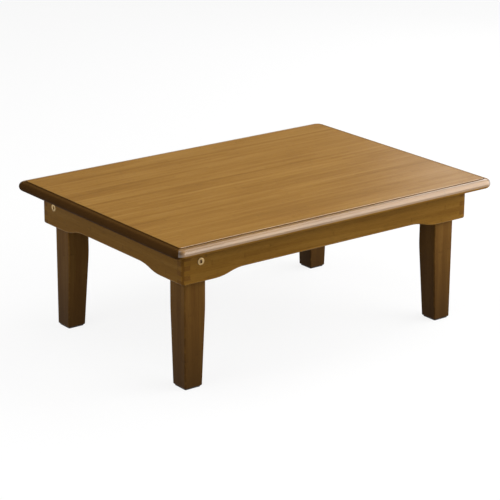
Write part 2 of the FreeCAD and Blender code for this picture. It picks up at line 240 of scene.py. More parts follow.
def buildTop():
    low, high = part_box("top_panel")
    settings = topSettings
    panelRadius = settings["panelCornerRadius"]
    edgeRound = settings["panelEdgeRound"]
    quirk = settings["quirkRound"]
    outerRadius = panelRadius + settings["mouldingWidth"]
    centreX = high.x - outerRadius
    centreY = high.y - outerRadius
    shelf = high.z - settings["panelStep"]
    noseRadius = (shelf - low.z) / 2
    noseCentre = (outerRadius - noseRadius, low.z + noseRadius)

    # half section over the edge, as (distance from the plan corner's centre, height)
    edgeCentre = (panelRadius - edgeRound, high.z - edgeRound)
    quirkCentre = (panelRadius + quirk, shelf + quirk)
    section = arcPoints(edgeCentre, edgeRound, 90, 0, settings["edgeSteps"])
    section += arcPoints(quirkCentre, quirk, 180, 270, settings["quirkSteps"])
    section.append((panelRadius + quirk + settings["paintedShadeStrip"], shelf))
    section += arcPoints(noseCentre, noseRadius, 90, -90, settings["noseSteps"])

    bm = bmesh.new()
    rings = []
    quarters = [(1, 1, 0), (-1, 1, 90), (-1, -1, 180), (1, -1, 270)]
    for reach, height in section:
        ring = []
        for signX, signY, start in quarters:
            centre = (signX * centreX, signY * centreY)
            for x, y in arcPoints(centre, reach, start, start + 90, settings["cornerSteps"]):
                ring.append(bm.verts.new((x, y, height)))
        rings.append(ring)
    stainAndShade = bm.faces.layers.float.new("stainAndPaintedShade")
    stepRing = settings["edgeSteps"]
    shelfRing = stepRing + settings["quirkSteps"] + 2
    lastPolished = shelfRing + round(settings["noseSteps"] * settings["polishedShare"])
    for number, (ring, following) in enumerate(zip(rings, rings[1:])):
        for n in range(len(ring)):
            m = (n + 1) % len(ring)
            face = bm.faces.new((ring[n], following[n], following[m], ring[m]))
            middle = face.calc_center_median()
            pastX = max(0, abs(middle.x) - centreX)
            pastY = max(0, abs(middle.y) - centreY)
            endShare = shareOf(pastX / math.hypot(pastX, pastY), *settings["endTurn"])
            # painted shade darkens the step and the strip of shelf beside it
            if number >= stepRing:
                # both ends get end-grain stain, and painted shade makes the left end darker than the right
                endShare *= settings["endStainAndShade"][0 if middle.x < 0 else 1]
                face[stainAndShade] = max(settings["stepPaintedShade"] if number < shelfRing else 0, endShare)
            polished = pastY > pastX and not stepRing <= number < shelfRing and number <= lastPolished
            face.material_index = 1 if polished else 2 if number >= stepRing else 0
    bm.faces.new(rings[0])
    bm.faces.new(list(reversed(rings[-1])))

    wood = Matrix.Translation(settings["grainShift"])
    top = pieceFrom("tableTop", bm, grain=wood, sharpAngle=settings["sharpAngle"])
    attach(top, tableBody)
    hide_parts("top_panel")
    dress(top, bamboo["top"], bamboo["moulding"], bamboo["mouldingEnd"])


# Aprons

apronSettings = {
    "lobeLength": 67 * mm,
    "ogeeRun": 62 * mm,
    "archRise": 10 * mm,
    "fingers": 7,
    "edgeRound": 4 * mm,
    "edgeSteps": 5,
    "cornerRound": 5.5 * mm,
    "cornerSteps": 8,
    "fingerArris": 0.25 * mm,
    "arrisSteps": 2,
    "ogeeSteps": 14,  # in each half of the S curve
    "boltSeatDepth": 1.7 * mm,
    "boltSeatRadius": 6.6 * mm,
    "boltSeatArris": 0.3 * mm,
    "grainShift": 0.173,  # moves each board to other streaks
    "stripShift": 0.59,
}


def apronOutline(length, low, high, thickness, firstFinger):
    # the board seen from outside, as (u, z) points anticlockwise from the left end of the S curve
    settings = apronSettings
    run = settings["ogeeRun"]
    rise = settings["archRise"]
    start = settings["lobeLength"]
    steps = settings["ogeeSteps"]
    radius = (run ** 2 + rise ** 2) / (4 * rise)
    turn = math.degrees(2 * math.atan(rise / run))
    ogee = arcPoints((start, low + radius), radius, -90, turn - 90, steps)
    ogee += arcPoints((start + run, low + rise - radius), radius, turn + 90, 90, steps)[1:]
    lower = ogee + [(length - u, z) for u, z in reversed(ogee)]

    count = settings["fingers"]
    height = (high - low) / count
    rightEnd = []
    for level in reversed(range(count)):
        u = length if level % 2 == firstFinger else length - thickness
        top = high - level * height
        rightEnd += [(u, top - height), (u, top)]
    return lower + rightEnd + [(length - u, z) for u, z in reversed(rightEnd)]


levelNormal = 0.7  # a face whose normal rises or falls by more than this lies level
uprightNormal = 0.5  # and one by less stands upright


def apronLowerEdges(bm, length, low, thickness, tipEnds):
    # the outside and inside arris along the lower edge, and round the tip of the lowest finger
    chosen = []
    for edge in bm.edges:
        middle = (edge.verts[0].co + edge.verts[1].co) / 2
        facesDown = [f for f in edge.link_faces if f.normal.z < -levelNormal]
        facesOut = [f for f in edge.link_faces if abs(f.normal.z) < uprightNormal]
        fromEnd = min(middle.x, length - middle.x)
        underFinger = fromEnd < thickness + mm and middle.z > low + mm
        againstTip = not tipEnds and abs(fromEnd - thickness) < near
        inLower = middle.z < low + apronSettings["archRise"] + near
        if facesDown and facesOut and inLower and not underFinger and not againstTip:
            chosen.append(edge)
    return chosen


def buildApron(side):
    node = sideNames[side] + "_apron"
    low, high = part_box(node)
    longSide = side % 2 == 0
    length = frameSizes[side % 2]
    thickness = (high.y - low.y) if longSide else (high.x - low.x)
    settings = apronSettings
    outline = apronOutline(length, low.z, high.z, thickness, 0 if longSide else 1)
    bm = pushedOut([(u, 0, z) for u, z in outline], (0, thickness, 0))

    atCorners = [
        edge for edge in bm.edges
        if all(v.co.y < mm and min(v.co.x, length - v.co.x) < mm for v in edge.verts)
        and abs(edge.verts[0].co.z - edge.verts[1].co.z) > mm
    ]
    roundEdges(bm, atCorners, settings["cornerRound"], settings["cornerSteps"])
    lower = apronLowerEdges(bm, length, low.z, thickness, longSide)
    roundEdges(bm, lower, settings["edgeRound"], settings["edgeSteps"])
    roundEdges(bm, sharpEdges(bm), settings["fingerArris"], settings["arrisSteps"])

    seat = settings["boltSeatRadius"]
    seatDepth = settings["boltSeatDepth"]
    arris = settings["boltSeatArris"]
    bore = boltSettings["shankRadius"] + boltSettings["fixedClearance"]
    cutter = turnedMesh([
        (0, -overrun), (seat + arris + overrun, -overrun), (seat, arris), (seat, seatDepth),
        (bore, seatDepth), (bore, thickness + overrun), (0, thickness + overrun),
    ], roundSteps)
    bmesh.ops.translate(cutter, vec=(pivotAlong, 0, pivotHeight), verts=cutter.verts[:])
    bm = shaped(bm, [cutter])

    # strips lie along the board, one above the other
    strips = Matrix((
        (1, 0, 0, side * settings["grainShift"]),
        (0, 0, 1, side * settings["stripShift"] - low.z),
        (0, 1, 0, 0),
        (0, 0, 0, 1),
    ))
    apron = pieceFrom(pieceName(node), bm, cornerMatrix(side), strips)
    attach(apron, tableBody)
    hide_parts(node)
    dress(apron, bamboo["apron"])


# Legs

legSettings = {
    "footWidth": 36 * mm,
    "taperHeight": 140 * mm,
    "bendRadius": 480 * mm,
    "bendSteps": 4,
    "edgeRound": 2.4 * mm,
    "edgeSteps": 5,
    "roundTopSteps": 32,
    "recessRadius": 10 * mm,
    "recessDepth": 9 * mm,
    "recessArris": 0.5 * mm,
    "footStain": 0.92,  # painted shade: how much darker the foot is than the top of the leg
    "grainShift": 0.37,  # moves each leg to other streaks
    "stripShift": 0.44,
    "glueShift": 0.8 * mm,  # keeps the faces off the glue lines
}


def legWidths(width, foot):
    # (height, width) from the foot up to the full width, with the gentle bend between
    settings = legSettings
    slope = math.atan((width - settings["footWidth"]) / (settings["taperHeight"] - foot))
    radius = settings["bendRadius"]
    bendTop = settings["taperHeight"] + radius * math.tan(slope / 2)
    levels = [(foot, settings["footWidth"])]
    for n in range(settings["bendSteps"] + 1):
        angle = slope * (1 - n / settings["bendSteps"])
        levels.append((bendTop - radius * math.sin(angle), width - radius * (1 - math.cos(angle))))
    return levels


def buildLeg(corner):
    node = cornerNames[corner] + "_leg"
    low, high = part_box("front_left_leg")
    startU = low.x - frameLow.x
    startV = low.y - frameLow.y
    width = high.x - low.x
    settings = legSettings

    levels = legWidths(width, low.z) + [(pivotHeight, width)]
    crown = arcPoints((width / 2, pivotHeight), width / 2, 180, 0, settings["roundTopSteps"])[1:-1]
    bm = bmesh.new()
    sides = []
    for inner in (False, True):
        left = [bm.verts.new((0, across if inner else 0, z)) for z, across in levels]
        right = [bm.verts.new((across, across if inner else 0, z)) for z, across in levels]
        over = [bm.verts.new((u, width if inner else 0, z)) for u, z in crown]
        for n in range(len(levels) - 1):
            bm.faces.new((left[n], right[n], right[n + 1], left[n + 1]))
        bm.faces.new([left[-1]] + over + [right[-1]])
        sides.append(left + over + right[::-1])
    for n in range(len(sides[0])):
        m = (n + 1) % len(sides[0])
        bm.faces.new((sides[0][n], sides[0][m], sides[1][m], sides[1][n]))
    bmesh.ops.recalc_face_normals(bm, faces=bm.faces[:])
    roundEdges(bm, sharpEdges(bm), settings["edgeRound"], settings["edgeSteps"])

    bore = boltSettings["shankRadius"] + boltSettings["runningClearance"]
    recess = settings["recessRadius"]
    recessFloor = width - settings["recessDepth"]
    mouth = width - settings["recessArris"]
    cutter = turnedMesh([
        (0, -overrun), (bore, -overrun), (bore, recessFloor), (recess, recessFloor), (recess, mouth),
        (recess + overrun, mouth + overrun), (0, mouth + overrun),
    ], roundSteps)
    bmesh.ops.translate(cutter, vec=(width / 2, 0, pivotHeight), verts=cutter.verts[:])
    bm = shaped(bm, [cutter])
    bmesh.ops.translate(bm, vec=(startU, startV, 0), verts=bm.verts[:])
    # painted shade, darker towards the foot
    stainAndShade = bm.verts.layers.float.new("stainAndPaintedShade")
    for v in bm.verts:
        v[stainAndShade] = settings["footStain"] * (1 - (v.co.z - low.z) / (high.z - low.z))

    # strips stand upright
    offGlue = settings["glueShift"]
    strips = Matrix((
        (0, 0, 1, corner * settings["grainShift"]),
        (1, 0, 0, corner * settings["stripShift"] - startU + offGlue),
        (0, 1, 0, offGlue - startV),
        (0, 0, 0, 1),
    ))
    leg = pieceFrom(pieceName(node), bm, cornerMatrix(corner), strips)
    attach(leg, node + "_assembly")
    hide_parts(node)
    dress(leg, bamboo["leg"])


padSettings = {
    "cornerRadius": 3 * mm,
    "cornerSteps": 6,
    "edgeRound": 0.6 * mm,
    "edgeSteps": 4,
}


def buildFootPad(corner):
    node = cornerNames[corner] + "_foot_pad"
    low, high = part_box("front_left_foot_pad")
    settings = padSettings
    radius = settings["cornerRadius"]
    outline = []
    corners = [(high.x, high.y, 0), (low.x, high.y, 90), (low.x, low.y, 180), (high.x, low.y, 270)]
    for x, y, start in corners:
        inX = x - math.copysign(radius, x - (low.x + high.x) / 2)
        inY = y - math.copysign(radius, y - (low.y + high.y) / 2)
        centre = (inX - frameLow.x, inY - frameLow.y)
        outline += arcPoints(centre, radius, start, start + 90, settings["cornerSteps"])
    bm = pushedOut([(u, v, low.z) for u, v in outline], (0, 0, high.z - low.z))
    lower = [e for e in sharpEdges(bm) if max(v.co.z for v in e.verts) < low.z + near]
    roundEdges(bm, lower, settings["edgeRound"], settings["edgeSteps"])
    pad = pieceFrom(pieceName(node), bm, cornerMatrix(corner))
    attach(pad, cornerNames[corner] + "_leg_assembly")
    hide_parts(node)
    dress(pad, plainFinishes["rubber"])


# Pivot hardware: bolt, spacer, washer and lock nut, in each corner's own axes

boltSettings = {
    "shankRadius": 3 * mm,
    "fixedClearance": 0.1 * mm,  # in the apron
    "runningClearance": 0.06 * mm,  # in the leg
    "headRadius": 6.5 * mm,
    "headRound": 0.5 * mm,
    "headSteps": 5,
    "neckRound": 0.3 * mm,  # under the head
    "socketFlats": 5 * mm,
    "socketDepth": 2 * mm,
    "socketChamfer": (0.4 * mm, 0.8 * mm),  # outside the socket's corners and inside them, at 45 degrees
    "brightLip": 0.24 * mm,  # how deep the socket's mouth keeps the finish of the head; deeper in, the socket gets painted shade
    "drillShare": 0.8,  # of the socket's reach, with a pointed end past its floor
    "drillPoint": 1.2 * mm,
    "threadPitch": 1 * mm,
    "threadDepth": 0.55 * mm,
    "threadLength": 9 * mm,
    "rowsPerTurn": 8,
    "pointRows": 6,  # rows at the bolt's end, each this much thinner
    "pointStep": 0.1 * mm,
    "steps": 48,
}
washerSettings = {
    "boreRadius": 3.1 * mm,
    "edgeRound": 0.2 * mm,
}
nutSettings = {
    "flats": 10 * mm,
    "hexHeight": 4.6 * mm,
    "hexChamfer": (0.25 * mm, 30),  # how far in from the flats it starts, and its slope in degrees
    "hexSteps": 96,
    "collarRadius": 4.3 * mm,
    "collarRound": 0.5 * mm,
    "collarWall": 0.55 * mm,
    "boreRadius": 3.05 * mm,
    "boreChamfer": 0.4 * mm,
    "ringDepth": 0.9 * mm,
    "ringGap": 0.02 * mm,
    "ringSink": 0.15 * mm,
    "ringRound": 0.2 * mm,
}
softShare = 0.3  # of a rounded edge's radius: how far in its middle point lies
shortOverrun = 1 * mm  # for cuts in small pieces


def alongPivot(node):
    # where a piece of pivot hardware starts and ends along its bolt
    low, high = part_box("front_left_" + node)
    return low.y - frameLow.y, high.y - frameLow.y


def placeHardware(node, corner, ending, bm, slotName, *finishes):
    bmesh.ops.translate(bm, vec=(pivotAlong, 0, pivotHeight), verts=bm.verts[:])
    piece = pieceFrom(pieceName(cornerNames[corner], ending), bm, cornerMatrix(corner))
    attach(piece, tableBody)
    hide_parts(cornerNames[corner] + "_" + node)
    dress(piece, *[plainFinishes[finish] for finish in finishes])


def addThread(bm, start, end):
    # a single start thread out to the bolt's end, with a pointed last turn
    settings = boltSettings
    steps = settings["steps"]
    perTurn = settings["rowsPerTurn"]
    rows = int((end - start) / (settings["threadPitch"] / perTurn))
    rings = []
    for row in range(rows + 1):
        along = start + (end - start) * row / rows
        depth = settings["threadDepth"] * min(1, row / perTurn)
        ring = []
        for n in range(steps):
            phase = (along / settings["threadPitch"] - n / steps) % 1
            radius = settings["shankRadius"] - depth * (1 - abs(2 * phase - 1))
            radius -= settings["pointStep"] * max(0, row - rows + settings["pointRows"])
            angle = 2 * math.pi * n / steps
            ring.append(bm.verts.new((radius * math.cos(angle), along, radius * math.sin(angle))))
        rings.append(ring)
    for ring, following in zip(rings, rings[1:]):
        for n in range(steps):
            m = (n + 1) % steps
            bm.faces.new((ring[n], ring[m], following[m], following[n]))
    bm.faces.new(rings[-1])


def buildPivotBolt(corner):
    settings = boltSettings
    start, end = alongPivot("pivot_bolt")
    head = settings["headRadius"]
    edge = settings["headRound"]
    shank = settings["shankRadius"]
    neck = settings["neckRound"]
    seat = apronSettings["boltSeatDepth"]
    threadStart = end - settings["threadLength"]
    profile = [(0, start)] + arcPoints((head - edge, start + edge), edge, -90, 0, settings["headSteps"])
    profile += [(head, seat), (shank + neck, seat), (shank, seat + neck), (shank, threadStart)]
    bm = turnedMesh(profile, settings["steps"])
    addThread(bm, threadStart, end)
    bmesh.ops.remove_doubles(bm, verts=bm.verts[:], dist=mergeDistance)

    depth = start + settings["socketDepth"]
    reach = settings["socketFlats"] / math.sqrt(3)
    outside, inside = settings["socketChamfer"]
    leadEnd = start + outside + inside
    socket = hexagonMesh(settings["socketFlats"], start - overrun, depth)
    lead = turnedMesh([
        (0, start - shortOverrun), (reach + outside + shortOverrun, start - shortOverrun),
        (reach - inside, leadEnd), (0, leadEnd),
    ], settings["steps"])
    drill = reach * settings["drillShare"]
    drillEnd = depth + settings["drillPoint"]
    point = turnedMesh([
        (0, depth - shortOverrun / 2), (drill, depth - shortOverrun / 2), (drill, depth), (0, drillEnd),
    ], settings["steps"])
    bm = shaped(bm, [socket, lead, point])
    # the inside of the socket gets painted shade
    for face in bm.faces:
        middle = face.calc_center_median()
        inSocket = start + settings["brightLip"] < middle.y < drillEnd and middle.xz.length < reach
        face.material_index = 1 if inSocket else 0
    placeHardware("pivot_bolt", corner, "PivotBolt", bm, "bolt_brass", "brass", "brassSocketShade")


def buildWasher(node, corner, ending, slotName, finish):
    start, end = alongPivot(node)
    low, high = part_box("front_left_" + node)
    outer = (high.x - low.x) / 2
    inner = washerSettings["boreRadius"]
    edge = washerSettings["edgeRound"]
    soft = softShare * edge
    profile = [
        (inner + edge, start), (outer - edge, start), (outer - soft, start + soft), (outer, start + edge),
        (outer, end - edge), (outer - soft, end - soft), (outer - edge, end),
        (inner + edge, end), (inner, end - edge), (inner, start + edge), (inner + edge, start),
    ]
    placeHardware(node, corner, ending, turnedMesh(profile, roundSteps), slotName, finish)


def buildLockNut(corner):
    settings = nutSettings
    start, end = alongPivot("lock_nut")
    hexEnd = start + settings["hexHeight"]
    bore = settings["boreRadius"]
    collar = settings["collarRadius"]
    reach = settings["flats"] / math.sqrt(3)
    inset, slope = settings["hexChamfer"]
    inside = settings["flats"] / 2 - inset
    slant = (reach - inside) * math.tan(math.radians(slope))
    body = hexagonMesh(settings["flats"], start, hexEnd)
    envelope = turnedMesh([
        (0, start), (inside, start), (reach, start + slant),
        (reach, hexEnd - slant), (inside, hexEnd), (0, hexEnd),
    ], settings["hexSteps"])
    body = shaped(body, [envelope], "INTERSECT")

    edge = settings["collarRound"]
    soft = softShare * edge
    crown = turnedMesh([
        (0, hexEnd - shortOverrun), (collar, hexEnd - shortOverrun), (collar, end - edge),
        (collar - soft, end - soft), (collar - edge, end), (0, end),
    ], roundSteps)
    body = shaped(body, [crown], "UNION")

    ringFloor = end - settings["ringDepth"]
    lead = settings["boreChamfer"]
    inWall = collar - settings["collarWall"]
    hole = turnedMesh([
        (0, start - shortOverrun), (bore + lead + shortOverrun, start - shortOverrun), (bore, start + lead),
        (bore, ringFloor), (inWall, ringFloor), (inWall, end + shortOverrun), (0, end + shortOverrun),
    ], roundSteps)
    placeHardware("lock_nut", corner, "LockNut", shaped(body, [hole]), "nut_steel", "zinc")

    ringOuter = inWall - settings["ringGap"]
    ringEnd = end - settings["ringSink"]
    edge = settings["ringRound"]
    ring = turnedMesh([
        (bore, ringFloor), (ringOuter, ringFloor), (ringOuter, ringEnd), (bore + edge, ringEnd),
        (bore, ringEnd - edge), (bore, ringFloor),
    ], roundSteps)
    placeHardware("lock_nut", corner, "LockNutRing", ring, "nut_steel", "nylonBlue")


# Materials

def addNode(tree, kind, inputs=None, **settings):
    # a node with its settings, and its inputs set to values or linked to other nodes' outputs
    node = tree.nodes.new(kind)
    for name, value in settings.items():
        setattr(node, name, value)
    for name, value in (inputs or {}).items():
        if isinstance(value, bpy.types.NodeSocket):
            tree.links.new(value, node.inputs[name])
        else:
            node.inputs[name].default_value = value
    return node


def calculate(tree, operation, first, second=0.0, third=0.0):
    values = {0: first, 1: second, 2: third}
    return addNode(tree, "ShaderNodeMath", values, operation=operation).outputs[0]


def spread(tree, value, fromLow, fromHigh, toLow=0.0, toHigh=1.0):
    # maps a range of values on to another with soft ends
    values = {"Value": value, "From Min": fromLow, "From Max": fromHigh, "To Min": toLow, "To Max": toHigh}
    return addNode(tree, "ShaderNodeMapRange", values, interpolation_type="SMOOTHSTEP").outputs["Result"]


def scaledPlace(tree, place, scales):
    return addNode(tree, "ShaderNodeVectorMath", {0: place, 1: scales}, operation="MULTIPLY").outputs[0]


def pattern(tree, place, scales, detail=2.0, roughness=0.5, distortion=0.0):
    # soft noise that changes this often in a metre along each axis
    values = {"Vector": scaledPlace(tree, place, scales), "Scale": 1.0}
    values.update({"Detail": detail, "Roughness": roughness, "Distortion": distortion})
    return addNode(tree, "ShaderNodeTexNoise", values).outputs[0]


def blendColors(tree, factor, first, second):
    return addNode(tree, "ShaderNodeMix", {0: factor, 6: first, 7: second}, data_type="RGBA").outputs[2]


bambooSettings = {
    "ringSpacing": 260 * mm,
    "ringReach": (0.7 * mm, 2 * mm),  # from a ring's middle to where it starts to fade and where it ends
    "ringWaver": 4 * mm,  # with the streaks
    "ringShift": 5.0,  # spacings by which one strip's rings can lie off another's
    "ringShare": 0.7,  # of the strips show their rings
    "glueReach": (0.048 * mm, 0.16 * mm),  # the same for a glue line
    "ownShift": (7.0, 3.0, 3.0),  # how far one strip's pattern can lie from another's
    # how often each pattern changes in a metre along, across and through the strips, then its detail,
    # roughness and distortion
    "bandPattern": ((5.0, 85.0, 85.0), 2.0, 0.5, 0.6),
    "streakPattern": ((9.0, 420.0, 420.0), 3.0, 0.55),
    "fibrePattern": ((28.0, 2100.0, 2100.0), 2.0, 0.6),
    "bundlePattern": ((75.0, 2700.0, 2700.0), 1.0),
    "stainPattern": ((5.0, 16.0, 16.0), 3.0, 0.6),
    "rubPattern": ((120.0, 120.0, 120.0), 3.0),
    "poreScale": (60.0, 1500.0, 1500.0),
    # where a pattern starts to show and where it shows fully, and where a pore starts to fade and ends
    "bundleRange": (0.58, 0.72),
    "rubRange": (0.42, 0.66),
    "poreRange": (0.2, 0.55),
    # how far each changes the colour, of the whole range from dark to light
    "stripTone": 0.11,  # from strip to strip
    "internodeTone": 0.1,  # and from one ring of the cane to the next
    "bandTone": 0.38,
    "streakTone": 0.22,
    "fibreTone": 0.24,
    "stainTone": 0.36,
    # how dark each mark is
    "bundleMark": 0.35,
    "ringMark": 0.16,
    "glueMark": 0.3,
    # heights of the surface, as shares of its deepest groove
    "fibreHeight": 0.4,
    "streakHeight": 0.35,
    "markHeight": -0.6,
    "grooveDepth": 0.12 * mm,
    "grooveStrength": 0.5,
    "stainAndShadeShare": 0.9,  # how much of the wood's own colour the darkest stain or painted shade hides
    "wearShare": 0.12,
    "wearRoughness": 0.3,
    "toneRange": (0.2, 0.8),  # the tones of the darkest streak and the lightest
    "coatRoughness": 0.3,
}


def makeBambooGroup():
    # laminated bamboo: a place in the wood gives its tone from 0 to 1, dark marks and the surface's height
    settings = bambooSettings
    tree = bpy.data.node_groups.new("stripBamboo", "ShaderNodeTree")
    for name, kind in (("place", "Vector"), ("stripWidth", "Float"), ("layerDepth", "Float")):
        tree.interface.new_socket(name, in_out="INPUT", socket_type="NodeSocket" + kind)
    for name in ("tone", "marks", "height", "endDots", "rub"):
        tree.interface.new_socket(name, in_out="OUTPUT", socket_type="NodeSocketFloat")
    given = tree.nodes.new("NodeGroupInput").outputs
    result = tree.nodes.new("NodeGroupOutput").inputs
    place = given["place"]
    axes = addNode(tree, "ShaderNodeSeparateXYZ", {0: place}).outputs

    # which strip, and the strip's own random values
    acrossCount = calculate(tree, "DIVIDE", axes["Y"], given["stripWidth"])
    throughCount = calculate(tree, "DIVIDE", axes["Z"], given["layerDepth"])
    strip = addNode(tree, "ShaderNodeCombineXYZ", {
        "X": calculate(tree, "FLOOR", acrossCount),
        "Y": calculate(tree, "FLOOR", throughCount),
    }).outputs[0]
    random = addNode(tree, "ShaderNodeTexWhiteNoise", {"Vector": strip}, noise_dimensions="2D").outputs
    ownShift = scaledPlace(tree, random["Color"], settings["ownShift"])
    inStrip = addNode(tree, "ShaderNodeVectorMath", {0: place, 1: ownShift}, operation="ADD").outputs[0]

    streak = pattern(tree, inStrip, *settings["streakPattern"])
    fibre = pattern(tree, inStrip, *settings["fibrePattern"])
    bundle = pattern(tree, inStrip, *settings["bundlePattern"])
    stain = pattern(tree, place, *settings["stainPattern"])
    band = pattern(tree, place, *settings["bandPattern"])

    # rings of the cane: a narrow dark band across one strip
    spacing = settings["ringSpacing"]
    chances = addNode(tree, "ShaderNodeSeparateColor", {0: random["Color"]}).outputs
    waver = calculate(tree, "MULTIPLY", calculate(tree, "SUBTRACT", streak, 0.5), settings["ringWaver"])
    turns = calculate(tree, "DIVIDE", calculate(tree, "ADD", axes["X"], waver), spacing)
    rings = calculate(tree, "MULTIPLY_ADD", chances[0], settings["ringShift"], turns)
    phase = calculate(tree, "FRACT", rings)
    fromRing = calculate(tree, "ABSOLUTE", calculate(tree, "SUBTRACT", phase, 0.5))
    fromRing = calculate(tree, "MULTIPLY", fromRing, spacing)
    ring = spread(tree, fromRing, *settings["ringReach"], 1.0, 0.0)
    shown = calculate(tree, "GREATER_THAN", chances[1], 1 - settings["ringShare"])
    ring = calculate(tree, "MULTIPLY", ring, shown)

    # glue lines between strips
    fromGlue = []
    for count, size in ((acrossCount, given["stripWidth"]), (throughCount, given["layerDepth"])):
        fromMiddle = calculate(tree, "SUBTRACT", calculate(tree, "FRACT", count), 0.5)
        fromEdge = calculate(tree, "SUBTRACT", 0.5, calculate(tree, "ABSOLUTE", fromMiddle))
        fromGlue.append(calculate(tree, "MULTIPLY", fromEdge, size))
    glue = spread(tree, calculate(tree, "MINIMUM", *fromGlue), *settings["glueReach"], 1.0, 0.0)

    own = calculate(tree, "SUBTRACT", random["Value"], 0.5)
    tone = calculate(tree, "MULTIPLY_ADD", own, settings["stripTone"], 0.5)
    internode = addNode(tree, "ShaderNodeCombineXYZ", {
        "X": calculate(tree, "FLOOR", calculate(tree, "ADD", rings, 0.5)),
        "Y": random["Value"],
    }).outputs[0]
    lengths = addNode(tree, "ShaderNodeTexWhiteNoise", {"Vector": internode}, noise_dimensions="2D")
    own = calculate(tree, "SUBTRACT", lengths.outputs["Value"], 0.5)
    tone = calculate(tree, "MULTIPLY_ADD", own, settings["internodeTone"], tone)
    sources = {"bandTone": band, "streakTone": streak, "fibreTone": fibre, "stainTone": stain}
    for amount, source in sources.items():
        centred = calculate(tree, "SUBTRACT", source, 0.5)
        tone = calculate(tree, "MULTIPLY_ADD", centred, settings[amount], tone)
    bundles = spread(tree, bundle, *settings["bundleRange"])
    marks = calculate(tree, "MULTIPLY", bundles, settings["bundleMark"])
    marks = calculate(tree, "MULTIPLY_ADD", ring, settings["ringMark"], marks)
    marks = calculate(tree, "MULTIPLY_ADD", glue, settings["glueMark"], marks)
    height = calculate(tree, "MULTIPLY", streak, settings["streakHeight"])
    height = calculate(tree, "MULTIPLY_ADD", fibre, settings["fibreHeight"], height)
    height = calculate(tree, "MULTIPLY_ADD", marks, settings["markHeight"], height)

    # cut bundles of the cane, and where hands rub an edge
    porePlace = scaledPlace(tree, place, settings["poreScale"])
    pores = addNode(tree, "ShaderNodeTexVoronoi", {"Vector": porePlace, "Scale": 1.0}).outputs["Distance"]
    endDots = spread(tree, pores, *settings["poreRange"], 1.0, 0.0)
    rub = spread(tree, pattern(tree, place, *settings["rubPattern"]), *settings["rubRange"])
    made = {"tone": tone, "marks": marks, "height": height, "endDots": endDots, "rub": rub}
    for name, socket in made.items():
        tree.links.new(socket, result[name])
    return tree


def addGrooves(tree, shader, height, strength, depth):
    values = {"Height": height, "Strength": strength, "Distance": depth}
    tree.links.new(addNode(tree, "ShaderNodeBump", values).outputs[0], shader.inputs["Normal"])


def newMaterial(name):
    material = bpy.data.materials.new(name)
    material.use_nodes = True
    tree = material.node_tree
    tree.nodes.clear()
    shader = addNode(tree, "ShaderNodeBsdfPrincipled")
    addNode(tree, "ShaderNodeOutputMaterial", {"Surface": shader.outputs[0]}, name="output")
    return material, tree, shader


def dress(piece, *materials):
    for material in materials:
        piece.data.materials.append(material)


# Colours run from the darkest streak to the lightest. A piece made here carries its own grain. A solid
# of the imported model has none, so its grainAxes are the axes along, across and through the strips.
topKind = {
    "colors": [(0.22, 0.098, 0.015), (0.33, 0.162, 0.027), (0.42, 0.225, 0.046)],
    "endGrainAndShadeColor": (0.055, 0.024, 0.006),
    "stripWidth": 8 * mm,
    "layerDepth": 40 * mm,
}
hiddenKind = {
    "colors": [(0.12, 0.05, 0.013), (0.25, 0.12, 0.035), (0.38, 0.20, 0.07)],
    "endGrainAndShadeColor": (0.08, 0.034, 0.01),
    "roughness": (0.45, 0.6),
    "gloss": 0.2,
}
cleatKind = {**hiddenKind, "stripWidth": 6 * mm, "layerDepth": 9 * mm}
bambooKinds = {
    "top": {**topKind, "roughness": (0.34, 0.44), "gloss": 0.07},
    "moulding": {**topKind, "roughness": (0.32, 0.4), "gloss": 1.0, "coat": 0.8},
    "mouldingEnd": {**topKind, "roughness": (0.5, 0.6), "gloss": 0.01},
    "apron": {
        "colors": [(0.17, 0.073, 0.009), (0.272, 0.130, 0.019), (0.35, 0.184, 0.035)],
        "endGrainAndShadeColor": (0.17, 0.074, 0.012),
        "stripWidth": 59 / 7 * mm,  # as high as a finger
        "layerDepth": 40 * mm,
        "roughness": (0.34, 0.48),
        "gloss": 0.04,
    },
    "leg": {
        "colors": [(0.092, 0.039, 0.006), (0.178, 0.082, 0.016), (0.268, 0.136, 0.030)],
        "endGrainAndShadeColor": (0.042, 0.019, 0.005),
        "stripWidth": 44 / 6 * mm,  # just over a sixth of a leg, which keeps its faces off the glue lines
        "layerDepth": 45 / 4 * mm,  # and just over a quarter
        "roughness": (0.34, 0.48),
        "gloss": 0.04,
    },
    "rail": {**hiddenKind, "stripWidth": 7 * mm, "layerDepth": 12.5 * mm, "grainAxes": "YXZ"},
    "longCleat": {**cleatKind, "grainAxes": "XYZ"},
    "shortCleat": {**cleatKind, "grainAxes": "YXZ"},
}
colorShares = {
    "mark": 0.3,  # of the darkest streak's colour
    "endMark": 0.4,  # of the cut end's colour
    "worn": 1.25,  # of the lightest streak's colour
}


def shaded(color, share=1.0):
    return (*[min(1, part * share) for part in color], 1)


